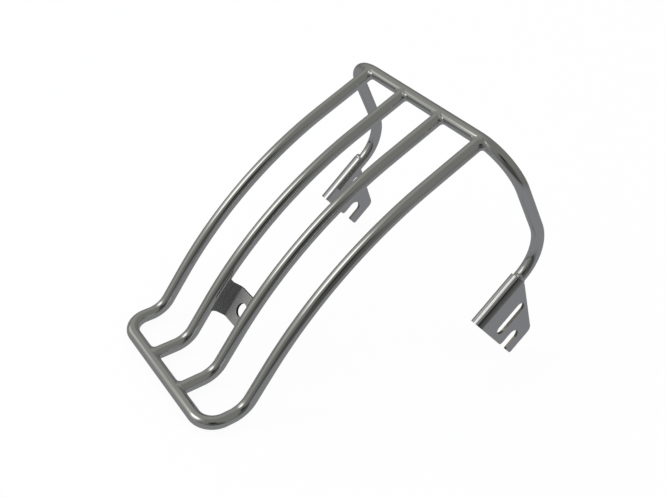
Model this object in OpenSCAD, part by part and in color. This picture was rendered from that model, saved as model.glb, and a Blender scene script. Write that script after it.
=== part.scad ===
// Luggage rack for a short rear mudguard, welded from round bar and bent sheet.
// It stands on its tail bar and the tips of its two side brackets.
// Inside the file it is drawn level: X to the right, Y forward, Z up, with the
// middle of the front crossbar at the origin. at_rest() then sets it down.

/* [Bar] */
// Diameter of the round bar
bar_d = 12.7; // [8:0.1:16]

/* [Platform] */
// Distance between the centrelines of the two outer rails
outer_spacing = 164; // [140:1:190]
// Distance between the centrelines of the two inner rails
inner_spacing = 54; // [44:1:64]
// Straight length of a rail behind the crossbar
rail_front = 68; // [50:1:90]
// Centreline radius of the long arch over the mudguard
arch_radius = 427; // [380:1:480]
// Angle that the arch turns through
arch_angle = 29.2; // [24:0.1:33]
// Straight length between the arch and the kick-up
rail_rear = 33; // [20:1:45]
// Centreline radius of the kick-up bend
kick_radius = 25.5; // [18:0.5:34]
// Angle that the kick-up bend turns through
kick_angle = 53.8; // [46:0.1:60]
// Straight length from the kick-up to the centreline of the tail bar
tail_reach = 27; // [24:0.5:40]
// Centreline radius of the two tail corners
corner_radius = 20.5; // [16:0.5:23]

/* [Front hoop] */
// Distance between the points where the crossbar's line meets the two arms' lines
hoop_width = 239; // [220:1:260]
// Distance between the centrelines of the arms where they lie in their brackets
arm_spacing = 259; // [245:1:275]
// Drop from the crossbar to the corner of an arm
arm_drop = 132.8; // [115:0.1:150]
// How far an arm leans forward from the vertical, in degrees
arm_lean = 3.2; // [0:0.1:6]
// Slope of the arms' lower ends below the level of the crossbar
grip_slope = 16; // [10:0.5:22]
// Centreline radius of the bends at the ends of the crossbar
hoop_radius = 46; // [36:0.5:54]
// Centreline radius of the lower bends of the arms
arm_radius = 45; // [34:0.5:52]
// Length of an arm that lies inside its bracket
grip_length = 43; // [30:0.5:55]

/* [Side brackets] */
// Thickness of the sheet
sheet = 3; // [2:0.1:4]
// Clearance between an arm and the rolled edge round it
nest_gap = 0.1; // [0.05:0.05:0.3]
// Distance from the corner of an arm to the front end of its bracket
bracket_start = 40; // [38:0.5:46]
// Length of a bracket along its arm
bracket_length = 61.5; // [52:0.5:72]
// Depth of a bracket below the centreline of its arm
bracket_depth = 73.4; // [68:0.1:82]
// How far the lip reaches inboard past the centreline of the arm
lip_reach = 4.5; // [2:0.1:8]
// Length of the lower edge of a bracket
lower_edge = 34; // [30:0.5:40]
// Width of the closed slot
slot_width = 12.5; // [9:0.1:13.5]
// Width of the metal left between the closed slot and the front edge
slot_web = 4.1; // [3:0.1:6]
// Distance from the arm's centreline to the centreline of the closed slot
slot_offset = 25.3; // [22:0.1:28]
// Distance from the rear edge of a bracket to the rear end of the closed slot
slot_margin = 7; // [5:0.1:10]
// Width of the open hook slot
hook_width = 15.3; // [11:0.1:16.5]
// Depth of the hook slot from the rear edge
hook_depth = 22.7; // [18:0.1:26]
// Width of the prong below the hook slot
prong_width = 12.4; // [10:0.1:14]
// Radius of the corner between the lower and the front edge
heel_radius = 8; // [4:0.5:12]
// Radius of the corner above the hook slot
land_radius = 3.5; // [2:0.5:6]
// Radius of the corners of the prong's tip
tip_radius = 2.5; // [1:0.5:4]

/* [Centre bracket] */
// Distance of the bracket's middle behind the start of the arch, in degrees of the arch
bracket_angle = 27.6; // [20:0.1:28]
// Length of the bracket along the rails
hat_length = 34; // [26:0.5:42]
// Depth of the bracket's floor below the centrelines of the inner rails
hat_depth = 15.9; // [13:0.1:22]
// Inside width of the bracket's floor
hat_floor = 31; // [26:0.5:34]
// Inside radius of the bracket's two bends
hat_bend = 2.5; // [1.5:0.1:4]
// Diameter of the hole in the floor
hole_d = 14; // [8:0.1:18]

/* [Welds] */
// Leg of the fillets where the rails meet the bars
joint_leg = 4.5; // [3:0.1:6]
// Height of the bead that stands proud over the top of a joint
joint_crown = 0.8; // [0.3:0.1:1.5]
// Leg of the fillets at the sheet brackets
sheet_leg = 3; // [2:0.1:4]

/* [Hidden] */

$fa = 3;
$fs = 0.8;

bar_r = bar_d / 2;
// A bend is this much fatter than the bar, and each straight reaches this far into it
bend_swell = 0.2;
bend_bite = 0.4;
// Distance between a coped rail's blunt end and the axis of the bar that it meets
cope_blunt = 2;
// How far a cutter reaches past what it cuts
slack = 1;
outer_x = outer_spacing / 2;
inner_x = inner_spacing / 2;
corner_x = hoop_width / 2;
arm_x = arm_spacing / 2;

// Small vector helpers
function unit(v) = v / norm(v);
function turn(a, b, c) = acos(unit(b - a) * unit(c - b));
function setback(a, b, c, r) = r * tan(turn(a, b, c) / 2);
function mirrored(p) = [-p.x, p.y, p.z];
function mix(a, b, t) = a + (b - a) * t;

// Centre of an arc of radius r that rounds the corner b of a flat outline
function round_centre(a, b, c, r) =
  b + unit(unit(a - b) + unit(c - b)) * r / sin(acos(unit(a - b) * unit(c - b)) / 2);

// Side profile of the rails: heading(a) points rearward and a degrees down
function heading(a) = [0, -cos(a), -sin(a)];
tail_slope = arch_angle - kick_angle;
arch_setback = arch_radius * tan(arch_angle / 2);
kick_setback = kick_radius * tan(kick_angle / 2);
arch_corner = (rail_front + arch_setback) * heading(0);
kick_corner = arch_corner + (arch_setback + rail_rear + kick_setback) * heading(arch_angle);
tail_axis = kick_corner + (kick_setback + tail_reach) * heading(tail_slope);

// Corners of the front hoop's right arm; the grip is the stretch inside the bracket
grip_along = heading(grip_slope);
grip_down = heading(grip_slope + 90);
hoop_corner = [corner_x, 0, 0];
arm_corner = [arm_x, arm_drop * tan(arm_lean), -arm_drop];
grip_start = arm_corner + bracket_start * grip_along;
grip_end = grip_start + grip_length * grip_along;

// The bend at the right end of the crossbar turns from X towards arm_fall
arm_fall = unit([0, arm_corner.y, arm_corner.z]);
arm_back = [0, arm_fall.z, -arm_fall.y];
hoop_bend_start = corner_x - setback([0, 0, 0], hoop_corner, arm_corner, hoop_radius);

// The two places where the rack touches the ground, and the tilt that puts both there
prong_tip = grip_start + (bracket_length - tip_radius) * grip_along + (bracket_depth - tip_radius) * grip_down;
stance = prong_tip - tail_axis;
stance_length = norm([stance.y, stance.z]);
tilt = asin((tip_radius - bar_r) / stance_length) - atan2(stance.z, stance.y);
function tilted(p) = [p.x, p.y * cos(tilt) - p.z * sin(tilt), p.y * sin(tilt) + p.z * cos(tilt)];

// Foremost and rearmost points of the rack as it stands
lower_in = unit(arm_corner - hoop_corner);
lower_normal = unit(cross(lower_in, grip_along));
lower_setback = setback(hoop_corner, arm_corner, grip_start, arm_radius);
lower_centre = arm_corner - lower_setback * lower_in + arm_radius * cross(lower_normal, lower_in);
arm_front = tilted(lower_centre).y + arm_radius * sqrt(1 - pow(tilted(lower_normal).y, 2)) + bar_r;
heel = round_centre([bracket_length, bracket_depth], [bracket_length - lower_edge, bracket_depth], [0, 0], heel_radius);
heel_front = tilted(grip_start + heel.x * grip_along + heel.y * grip_down).y + heel_radius;
front_y = max(arm_front, heel_front);
rear_y = tilted(tail_axis).y - bar_r;
rest_shift = [0, -(front_y + rear_y) / 2, bar_r - tilted(tail_axis).z];

module at_rest() {
  translate(rest_shift) rotate([tilt, 0, 0]) children();
}

module mirror_if(left) {
  mirror([left ? 1 : 0, 0, 0]) children();
}

// Puts children in a frame given by its origin and three axes
module placed(o, x, y, z) {
  multmatrix([
    [x.x, y.x, z.x, o.x],
    [x.y, y.y, z.y, o.y],
    [x.z, y.z, z.z, o.z],
    [0, 0, 0, 1]
  ]) children();
}

// One bend of a bar, round the corner b between a and c
module bar_bend(a, b, c, r, d) {
  in = unit(b - a);
  normal = unit(cross(b - a, c - b));
  inward = cross(normal, in);
  start = b - setback(a, b, c, r) * in;
  placed(start + r * inward, -inward, in, normal)
    rotate_extrude(angle = turn(a, b, c)) translate([r, 0]) circle(d = d);
}

// One straight stretch of a bar
module bar_leg(from, to, d) {
  along = unit(to - from);
  side = unit(cross(along, abs(along.x) > 0.7 ? [0, 0, 1] : [1, 0, 0]));
  placed(from, side, cross(along, side), along) cylinder(d = d, h = norm(to - from));
}

// A bar bent round the inner points of a list, with a radius for each bend.
module bar_run(points, radii, d) {
  last = len(points) - 1;
  cut = [
    for (i = [0 : last])
      i == 0 || i == last ? 0 : setback(points[i - 1], points[i], points[i + 1], radii[i - 1]) - bend_bite
  ];
  for (i = [0 : last - 1]) {
    along = unit(points[i + 1] - points[i]);
    bar_leg(points[i] + cut[i] * along, points[i + 1] - cut[i + 1] * along, d);
  }
  for (i = [1 : last - 1])
    bar_bend(points[i - 1], points[i], points[i + 1], radii[i - 1], d + bend_swell);
}

// A rail's ends are blunt, and stop short of the axis of the bar that they are coped to
rail_first = cope_blunt * heading(0);
rail_last = tail_axis - cope_blunt * heading(tail_slope);
function rail_points(x, last) = [
  for (p = [rail_first, arch_corner, kick_corner, last]) [x, p.y, p.z]
];

// The crossbar with its two arms, a single bar with four bends
module hoop_bar(d) {
  right = [hoop_corner, arm_corner, grip_end];
  left = [mirrored(grip_end), mirrored(arm_corner), mirrored(hoop_corner)];
  bar_run(concat(left, right), [arm_radius, hoop_radius, hoop_radius, arm_radius], d);
}

module front_hoop() {
  color("silver") at_rest() hoop_bar(bar_d);
}

// Both outer rails and the tail bar, a single bar with six bends, coped to the crossbar
module outer_frame() {
  right = rail_points(outer_x, tail_axis);
  left = [for (i = [3 : -1 : 0]) mirrored(right[i])];
  radii = [arch_radius, kick_radius, corner_radius, corner_radius, kick_radius, arch_radius];
  color("silver") at_rest() difference() {
    bar_run(concat(right, left), radii, bar_d);
    hoop_bar(bar_d);
  }
}

// Crossbar and tail bar as plain rods, to cope the inner rails to
module coping_rods() {
  for (p = [[0, 0, 0], tail_axis])
    bar_leg([-outer_x, p.y, p.z], [outer_x, p.y, p.z], bar_d);
}

module inner_rail(left) {
  color("silver") at_rest() mirror_if(left) difference() {
    bar_run(rail_points(inner_x, rail_last), [arch_radius, kick_radius], bar_d);
    coping_rods();
  }
}

module inner_rail_left() inner_rail(true);
module inner_rail_right() inner_rail(false);

// A flat outline with its corners rounded by true arcs; a radius of 0 leaves a corner sharp
module rounded_outline(points, radii) {
  n = len(points);
  before = [for (i = [0 : n - 1]) points[(i + n - 1) % n]];
  after = [for (i = [0 : n - 1]) points[(i + 1) % n]];
  polygon([
    for (i = [0 : n - 1])
      let (cut = radii[i] == 0 ? 0 : setback(before[i], points[i], after[i], radii[i]))
      for (next = cut == 0 ? [before[i]] : [before[i], after[i]])
        points[i] + cut * unit(next - points[i])
  ]);
  for (i = [0 : n - 1])
    if (radii[i] > 0)
      translate(round_centre(before[i], points[i], after[i], radii[i])) circle(r = radii[i]);
}

// Sheet bracket: a J-section cut to the plate's outline.
// The section lies in the plane across the arm: x outboard, y up, the arm's centre at the origin.
nest_r = bar_r + nest_gap;
roll_r = nest_r + sheet;

module j_section() {
  difference() {
    union() {
      circle(r = roll_r);
      translate([-lip_reach, 0]) square([lip_reach, roll_r]);
      translate([0, -bracket_depth]) square([roll_r, bracket_depth]);
    }
    circle(r = nest_r);
    translate([-lip_reach - roll_r, -bracket_depth]) square([lip_reach + roll_r + nest_r, bracket_depth]);
    translate([-lip_reach - roll_r, -slack]) square([roll_r, roll_r + 2 * slack]);
    translate([-lip_reach - slack, -slack]) square([lip_reach + slack, nest_r + slack]);
  }
}

// Plate outline: x runs rearward along the arm, y downward from it.
// The closed slot fills the room between the slanting front edge and the rear edge.
hook_upper = bracket_depth - prong_width - hook_width;
front_slant = atan2(bracket_length - lower_edge, bracket_depth);
slot_front = slot_offset * tan(front_slant) + (slot_web + slot_width / 2) / cos(front_slant);
slot_rear = bracket_length - slot_margin - slot_width / 2;
module plate_outline() {
  over = roll_r + slack;
  hook_end = bracket_length - hook_depth + hook_width / 2;
  difference() {
    rounded_outline(
      [
        [0, -over],
        [bracket_length, -over],
        [bracket_length, hook_upper],
        [hook_end, hook_upper],
        [hook_end, hook_upper + hook_width],
        [bracket_length, hook_upper + hook_width],
        [bracket_length, bracket_depth],
        [bracket_length - lower_edge, bracket_depth],
        [0, 0]
      ],
      [0, 0, land_radius, 0, 0, tip_radius, tip_radius, heel_radius, 0]
    );
    translate([hook_end, hook_upper + hook_width / 2]) circle(d = hook_width);
    for (x = [slot_front, slot_rear])
      translate([x, slot_offset]) circle(d = slot_width);
    translate([slot_front, slot_offset - slot_width / 2]) square([slot_rear - slot_front, slot_width]);
  }
}

module side_bracket(left) {
  color("silver") at_rest() mirror_if(left) intersection() {
    placed(grip_start, [1, 0, 0], -grip_down, grip_along) linear_extrude(bracket_length) j_section();
    placed(grip_start - roll_r * [1, 0, 0], grip_along, grip_down, [1, 0, 0])
      linear_extrude(3 * roll_r) plate_outline();
  }
}

module side_bracket_left() side_bracket(true);
module side_bracket_right() side_bracket(false);

// Centre bracket: a hat section hung between the inner rails, its walls aimed at their centrelines.
// The section lies across the rails: x to the right, y up, the rails' centres on y = 0.
arch_start = rail_front * heading(0);
arch_centre = arch_start + [0, 0, -arch_radius];
hat_origin = arch_centre - arch_radius * heading(bracket_angle + 90);
wall_reach = norm([inner_x - hat_floor / 2, hat_depth]);
wall_lean = atan2(inner_x - hat_floor / 2, hat_depth) - asin(sheet / 2 / wall_reach);
outer_corner_x = hat_floor / 2 + sheet * tan((90 - wall_lean) / 2);
function inner_wall_x(y) = hat_floor / 2 + (y + hat_depth) * tan(wall_lean);
function outer_wall_x(y) = outer_corner_x + (y + hat_depth + sheet) * tan(wall_lean);

module hat_section() {
  difference() {
    rounded_outline(
      [
        [-outer_wall_x(0), 0],
        [-outer_corner_x, -hat_depth - sheet],
        [outer_corner_x, -hat_depth - sheet],
        [outer_wall_x(0), 0]
      ],
      [0, hat_bend + sheet, hat_bend + sheet, 0]
    );
    rounded_outline(
      [
        [-inner_wall_x(slack), slack],
        [-hat_floor / 2, -hat_depth],
        [hat_floor / 2, -hat_depth],
        [inner_wall_x(slack), slack]
      ],
      [0, hat_bend, hat_bend, 0]
    );
  }
}

module inner_bars() {
  for (left = [false, true])
    mirror_if(left) bar_run(rail_points(inner_x, rail_last), [arch_radius, kick_radius], bar_d);
}

module hat() {
  difference() {
    placed(hat_origin, [1, 0, 0], -heading(bracket_angle + 90), heading(bracket_angle)) difference() {
      translate([0, 0, -hat_length / 2]) linear_extrude(hat_length) hat_section();
      translate([0, -hat_depth + slack, 0]) rotate([90, 0, 0]) cylinder(d = hole_d, h = sheet + 2 * slack);
    }
    inner_bars();
  }
}

module centre_bracket() {
  color("silver") at_rest() hat();
}

// Fillet round a rail's end where it meets a bar of the same size; the underside is left open.
// at: where the centrelines cross; branch: along the rail, away from the bar; up: the joint's upper side.
// skin(s, a, r) is the point at r from the bar's centreline, s along the bar from the joint,
// and a degrees round it from branch towards up. lie(x, z) is how many degrees round the bar
// the point x across the branch and z up comes to rest on it.
// The fillet's root lies root_gap off the bars.
root_gap = 0.1;
root_r = bar_r + bend_swell / 2 + root_gap;
weld_steps = 28;
weld_open = 25;
weld_wrap = 24;
weld_lift = 0.15;

module joint_weld(at, branch, up, skin, lie) {
  across = [1, 0, 0];
  reach = bar_r + joint_leg;
  face_steps = [0, 0.2, 0.4, 0.6, 0.8, 1];
  root_steps = [1 / 3, 2 / 3];
  rings = [
    for (i = [0 : weld_steps])
      let (
        q = -90 + weld_open + (360 - 2 * weld_open) * i / weld_steps,
        out = cos(q) * across + sin(q) * up,
        side = lie(root_r * cos(q), root_r * sin(q)),
        wrap = weld_wrap * max(0, side) / 90,
        rail_toe = at + root_r * out + (joint_leg + bar_r * pow(cos(q), 2)) * branch,
        corner = at + root_r * out + root_r * cos(side) * branch,
        bar_toe = skin(reach * cos(q), side + wrap, root_r),
        proud = weld_lift + joint_crown * pow(max(0, sin(q)), 2)
      )
      concat(
        [
          for (t = face_steps)
            pow(1 - t, 2) * rail_toe + 2 * t * (1 - t) * corner + t * t * bar_toe + proud * sin(180 * t) * out
        ],
        [
          for (t = root_steps)
            skin(mix(reach, root_r, t) * cos(q), side + (1 - t) * wrap, root_r)
        ],
        [corner]
      )
  ];
  m = len(rings[0]);
  apex = len(face_steps) - 2;
  cap = concat(
    [for (j = [0 : apex - 1]) [m - 1, j, j + 1]],
    [for (j = [apex + 1 : m - 2]) [apex, j, j + 1]]
  );
  polyhedron(
    points = [for (ring = rings) for (p = ring) p],
    faces = concat(
      [
        for (i = [0 : weld_steps - 1])
          for (j = [0 : m - 1])
            let (l = (j + 1) % m)
            for (f = [[0, m, m + l - j], [0, m + l - j, l - j]]) f + [1, 1, 1] * (i * m + j)
      ],
      cap,
      [for (f = cap) [f[0], f[2], f[1]] + [1, 1, 1] * (weld_steps * m)]
    )
  );
}

// Skin of the crossbar from x to the right of its middle, round into its bend
function hoop_bent(x) = max(0, x - hoop_bend_start) / hoop_radius * 180 / PI;
function hoop_point(x) =
  [min(x, hoop_bend_start) + hoop_radius * sin(hoop_bent(x)), 0, 0]
  + hoop_radius * (1 - cos(hoop_bent(x))) * arm_fall;
function hoop_up(x) = [sin(hoop_bent(x)), 0, 0] - cos(hoop_bent(x)) * arm_fall;
function hoop_skin(x, a, r) =
  hoop_point(x) + r * (cos(a + arm_lean) * arm_back + sin(a + arm_lean) * hoop_up(x));

// Where along the crossbar the point above x lies, measured round its bend
function hoop_run(x) =
  x < hoop_bend_start ? x : hoop_bend_start + hoop_radius * asin((x - hoop_bend_start) / hoop_radius) * PI / 180;

// How far a point lies above a bar's centreline, in millimetres and in degrees round its skin
function hoop_height(x, z) =
  x < hoop_bend_start ? z : norm([x - hoop_bend_start, z + hoop_radius]) - hoop_radius;
function bar_lie(height) = asin(max(-1, min(1, height / root_r)));

module front_weld(x, left) {
  color("gainsboro") at_rest() mirror_if(left)
    joint_weld(
      [x, 0, 0], heading(0), [0, 0, 1],
      function(s, a, r) hoop_skin(hoop_run(x) + s, a, r),
      function(across, z) bar_lie(hoop_height(x + across, z))
    );
}

module front_weld_outer_left() front_weld(outer_x, true);
module front_weld_inner_left() front_weld(inner_x, true);
module front_weld_inner_right() front_weld(inner_x, false);
module front_weld_outer_right() front_weld(outer_x, false);

module tail_weld(left) {
  at = tail_axis + [inner_x, 0, 0];
  branch = -heading(tail_slope);
  up = -heading(tail_slope + 90);
  color("gainsboro") at_rest() mirror_if(left)
    joint_weld(
      at, branch, up,
      function(s, a, r) at + [s, 0, 0] + r * (cos(a) * branch + sin(a) * up),
      function(across, z) bar_lie(z)
    );
}

module tail_weld_left() tail_weld(true);
module tail_weld_right() tail_weld(false);

// Run of weld that follows the arch round the root of one wall of the centre bracket
module centre_weld(left) {
  seam = [inner_x, arch_radius] - bar_r * [sin(wall_lean), cos(wall_lean)];
  half_turn = (hat_length / 2 + sheet_leg / 2) / arch_radius * 180 / PI;
  color("gainsboro") at_rest() mirror_if(left) difference() {
    placed(arch_centre, -heading(bracket_angle - half_turn + 90), heading(bracket_angle - half_turn), [1, 0, 0])
      rotate_extrude(angle = 2 * half_turn) difference() {
        translate([seam.y, seam.x]) circle(r = sheet_leg);
        translate([arch_radius, inner_x]) circle(r = root_r);
      }
    hat();
  }
}

module centre_weld_left() centre_weld(true);
module centre_weld_right() centre_weld(false);

// Fillet round the arm at the front end of its bracket, hollow, with a least thickness
weld_from = -15;
weld_to = 120;
weld_web = 0.4;
module arm_weld(left) {
  color("gainsboro") at_rest() mirror_if(left)
    placed(
      grip_start,
      cos(weld_from) * [1, 0, 0] - sin(weld_from) * grip_down,
      -sin(weld_from) * [1, 0, 0] - cos(weld_from) * grip_down,
      grip_along
    )
      rotate_extrude(angle = weld_to - weld_from) translate([root_r, -sheet_leg]) difference() {
        square(sheet_leg - nest_gap / 2);
        translate([sheet_leg, 0]) circle(r = sheet_leg - weld_web);
      }
}

module arm_weld_left() arm_weld(true);
module arm_weld_right() arm_weld(false);

// Run of weld in the corner between the arm's underside and the plate
bead_r = 0.9 * sheet_leg;
bead_tuck = 0.8 * bead_r;
module grip_weld(left) {
  color("gainsboro") at_rest() mirror_if(left)
    placed(grip_start + 2 * sheet_leg * grip_along, [1, 0, 0], -grip_down, grip_along)
      linear_extrude(grip_length - 4 * sheet_leg) difference() {
        translate([nest_r - bead_tuck, -bar_r]) circle(r = bead_r);
        circle(r = root_r);
        translate([nest_r - nest_gap / 2, -2 * bar_r]) square([2 * bead_r, 2 * bar_r]);
      }
}

module grip_weld_left() grip_weld(true);
module grip_weld_right() grip_weld(false);

front_hoop();
outer_frame();
inner_rail_left();
inner_rail_right();
centre_bracket();
side_bracket_left();
side_bracket_right();
front_weld_outer_left();
front_weld_inner_left();
front_weld_inner_right();
front_weld_outer_right();
tail_weld_left();
tail_weld_right();
centre_weld_left();
centre_weld_right();
arm_weld_left();
arm_weld_right();
grip_weld_left();
grip_weld_right();
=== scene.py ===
# %% [markdown]
# # A chromed luggage rack for a motorcycle
# The rack is one welding of bent round bar. Two outer rails and two inner rails arch over the
# mudguard, a hoop holds them at the front and reaches down to a slotted bracket on each side,
# and a small bracket with a hole sits between the inner rails. Everything is plated after it
# is welded, so bar, sheet and weld share one bright skin that shows its surroundings.
# The construction is loaded first. It sets every size.

# %% Load the construction
import math
import bmesh
import bpy
from mathutils import Matrix, Vector


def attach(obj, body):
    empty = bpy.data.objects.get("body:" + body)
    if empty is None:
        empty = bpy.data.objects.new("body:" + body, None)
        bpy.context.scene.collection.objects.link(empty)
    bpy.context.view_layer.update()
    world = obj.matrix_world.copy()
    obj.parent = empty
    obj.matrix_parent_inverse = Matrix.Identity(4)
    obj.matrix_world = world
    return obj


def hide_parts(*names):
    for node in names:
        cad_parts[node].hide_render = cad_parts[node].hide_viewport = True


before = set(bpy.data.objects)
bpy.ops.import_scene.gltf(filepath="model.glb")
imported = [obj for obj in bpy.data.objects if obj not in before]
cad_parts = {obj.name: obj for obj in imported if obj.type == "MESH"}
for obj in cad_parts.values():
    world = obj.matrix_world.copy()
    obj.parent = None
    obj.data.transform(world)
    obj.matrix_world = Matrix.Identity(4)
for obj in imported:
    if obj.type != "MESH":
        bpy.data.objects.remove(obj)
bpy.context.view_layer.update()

# %% [markdown]
# ## The drawing's own frame
# A rack is drawn as it sits on the vehicle: the crossbar's middle is the origin and the front
# of the platform lies level. On the floor it leans, because it stands on its tail bar and on
# the prongs of the side brackets. So each point is worked out in the drawing, in millimetres,
# and `stand` tips it over and turns it into metres. Both halves are alike, so the right one is
# worked out and the left one is its mirror image.

# %% From the drawing to the floor
MM = 0.001
LEAN = math.radians(29.9211)
SHIFT = Vector((0, 102.633, 234.337))
TIP = Matrix.Rotation(LEAN, 3, "X")
RIGHT = Vector((1, 0, 0))
SIDES = (("left", -1), ("right", 1))

def stand(p):
    """Where a point of the drawing lies on the floor, in metres."""
    return (TIP @ Vector(p) + SHIFT) * MM

def stand_on(sign, p):
    """The same for a point of the right half, mirrored to the left where sign is -1."""
    return stand((sign * p[0], p[1], p[2]))

def mirrored(p):
    return Vector((-p[0], p[1], p[2]))

def heading(degrees):
    """Unit vector that runs rearward and so many degrees down."""
    a = math.radians(degrees)
    return Vector((0, -math.cos(a), -math.sin(a)))

print("front crossbar stands at", [round(v, 4) for v in stand((0, 0, 0))])

# %% [markdown]
# ## Camera
# The photograph was taken from the right and behind, looking down, with the camera turned a
# little about its own axis. The values come from fitting the rails and the brackets to the
# picture, so the camera belongs to the drawing's frame and is tipped with it.

# %% Camera at the photograph's angle
SENSOR = 36.0
FRAME_W, FRAME_H = 665, 498
FOCAL_PIXELS = 832.58
AZIMUTH, ELEVATION, ROLL = (math.radians(a) for a in (74.598, 49.004, -28.142))
TARGET, TARGET_PIXEL, DISTANCE = Vector((0, -130, -30)), (331.16, 206.67), 803.23
CLIP_START, CLIP_END = 0.01, 20

def in_scene(name, data):
    """A new object in the scene."""
    thing = bpy.data.objects.new(name, data)
    bpy.context.scene.collection.objects.link(thing)
    return thing

flat = math.cos(ELEVATION)
back = Vector((math.sin(AZIMUTH) * flat, -math.cos(AZIMUTH) * flat, math.sin(ELEVATION)))
level = (-back).cross(Vector((0, 0, 1))).normalized()
upright = level.cross(-back)
right = math.cos(ROLL) * level + math.sin(ROLL) * upright
up = math.cos(ROLL) * upright - math.sin(ROLL) * level
off_x = (TARGET_PIXEL[0] - FRAME_W / 2) / FOCAL_PIXELS * DISTANCE
off_y = (FRAME_H / 2 - TARGET_PIXEL[1]) / FOCAL_PIXELS * DISTANCE
eye = TARGET - off_x * right - off_y * up + DISTANCE * back

lens = bpy.data.cameras.new("camera")
lens.sensor_width = SENSOR
lens.lens = FOCAL_PIXELS / FRAME_W * SENSOR
lens.clip_start, lens.clip_end = CLIP_START, CLIP_END
camera = in_scene("camera", lens)
axes = Matrix([TIP @ right, TIP @ up, TIP @ back]).transposed().to_4x4()
camera.matrix_world = Matrix.Translation(stand(eye)) @ axes
bpy.context.scene.camera = camera
bpy.context.scene.view_settings.view_transform = "Standard"
print("camera at", [round(v, 3) for v in camera.location], "lens", round(lens.lens, 2))

# %% [markdown]
# ## Building materials and node trees
# Every node tree below is made of the same few moves: add a node, set its sockets, join it up.
# `add` does all three. The other helpers stand for nodes that come up again and again: a sum,
# a range turned into another range, a mix of two colours and a noise.

# %% Add a node
def add(tree, kind, inputs=None, **settings):
    """A new node. Each input takes a plain value or the socket of another node."""
    node = tree.nodes.new(kind)
    for name, value in settings.items():
        setattr(node, name, value)
    for name, value in (inputs or {}).items():
        socket = node.inputs[name]
        if isinstance(value, bpy.types.NodeSocket):
            tree.links.new(value, socket)
        else:
            socket.default_value = value
    return node

def fresh_material(name):
    """A material with an empty tree."""
    material = bpy.data.materials.new(name)
    material.use_nodes = True
    material.node_tree.nodes.clear()
    return material, material.node_tree

print("helpers for trees:", add.__name__, fresh_material.__name__)

# %% Nodes that come up again and again
def calc(tree, operation, *values):
    """The result of one sum."""
    return add(tree, "ShaderNodeMath", dict(enumerate(values)), operation=operation).outputs[0]

def remap(tree, value, start, end, low=0.0, high=1.0, kind="LINEAR"):
    """Turns the range from start to end into the range from low to high, and holds it outside."""
    return add(tree, "ShaderNodeMapRange", {
        "Value": value, "From Min": start, "From Max": end, "To Min": low, "To Max": high,
    }, interpolation_type=kind).outputs["Result"]

def blend(tree, share, under, over):
    """Mixes two colours: under where share is 0 and over where it is 1."""
    return add(tree, "ShaderNodeMix", {0: share, 6: under, 7: over}, data_type="RGBA").outputs[2]

def noise(tree, place, scale, detail, roughness):
    return add(tree, "ShaderNodeTexNoise", {
        "Vector": place, "Scale": scale, "Detail": detail, "Roughness": roughness,
    }).outputs["Fac"]

print("node helpers:", [helper.__name__ for helper in (calc, remap, blend, noise)])

# %% [markdown]
# ## Floor and backdrop
# The photograph's ground is plain white. The world is white to the camera, and the floor is
# nearly so: mostly its own light with a little true white paint, which is enough to hold the
# soft shadow under the rack.

# %% White world
def seen_rays(tree):
    """1 for rays from the camera, a mirror or glass, 0 for the light that falls on things."""
    path = add(tree, "ShaderNodeLightPath").outputs
    either = calc(tree, "MAXIMUM", path["Is Camera Ray"], path["Is Glossy Ray"])
    return calc(tree, "MAXIMUM", either, path["Is Transmission Ray"])

world = bpy.data.worlds.new("white_room")
bpy.context.scene.world = world
world.use_nodes = True
tree = world.node_tree
tree.nodes.clear()
lit = add(tree, "ShaderNodeBackground", {"Color": (0.93, 0.94, 0.96, 1), "Strength": 0.9})
shown = add(tree, "ShaderNodeBackground", {"Color": (1, 1, 1, 1), "Strength": 1.0})
mix = add(tree, "ShaderNodeMixShader", {0: seen_rays(tree), 1: lit.outputs[0], 2: shown.outputs[0]})
add(tree, "ShaderNodeOutputWorld", {"Surface": mix.outputs[0]})
print("the world lights the rack at strength", round(lit.inputs["Strength"].default_value, 2))

# %% Pale floor
FLOOR_HALF, FLOOR_DROP, FLOOR_OWN_LIGHT = 4.0, -0.0005, 0.94
CORNERS = ((-1, -1), (1, -1), (1, 1), (-1, 1))

floor_paint, tree = fresh_material("floor_white")
glow = add(tree, "ShaderNodeEmission", {"Color": (1, 1, 1, 1), "Strength": 1.0})
paint = add(tree, "ShaderNodeBsdfDiffuse", {"Color": (0.95, 0.95, 0.96, 1)})
share = calc(tree, "MULTIPLY", seen_rays(tree), FLOOR_OWN_LIGHT)
mix = add(tree, "ShaderNodeMixShader", {0: share, 1: paint.outputs[0], 2: glow.outputs[0]})
add(tree, "ShaderNodeOutputMaterial", {"Surface": mix.outputs[0]})

def flat_sheet(name, half, height, material):
    """A level square of the studio, from -half to half both ways."""
    mesh = bpy.data.meshes.new(name)
    mesh.from_pydata([(x * half, y * half, height) for x, y in CORNERS], [], [(0, 1, 2, 3)])
    mesh.materials.append(material)
    sheet = in_scene(name, mesh)
    return sheet

flat_sheet("floor", FLOOR_HALF, FLOOR_DROP, floor_paint)
print("floor laid, half width", FLOOR_HALF, "m")

# %% [markdown]
# ## The light tent that the plating shows
# Chrome has almost no colour of its own: what the eye sees is the room. The photograph's
# plating tells what stood round it: a plain grey ceiling, a grey table, one white light up
# behind the tail with its glow below and beside it, and a dark shape on the camera's side.
# A tent that only mirror rays can see holds these tones, so the white ground of the picture
# stays as it is. Its ceiling is a dome coloured by direction. Each patch of tone on it is given
# by the azimuth of its middle from the right, its height above the horizon, the angles at which
# it starts to fade and is gone, and its tone.

# %% Tones by direction
ROOM_CAST, LIGHT_CAST, LIGHT_FROM = 0.06, 0.02, 0.5

def reflection_only(thing):
    thing.visible_camera = False
    thing.visible_diffuse = False
    thing.visible_transmission = False
    thing.visible_volume_scatter = False
    thing.visible_shadow = False

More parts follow.
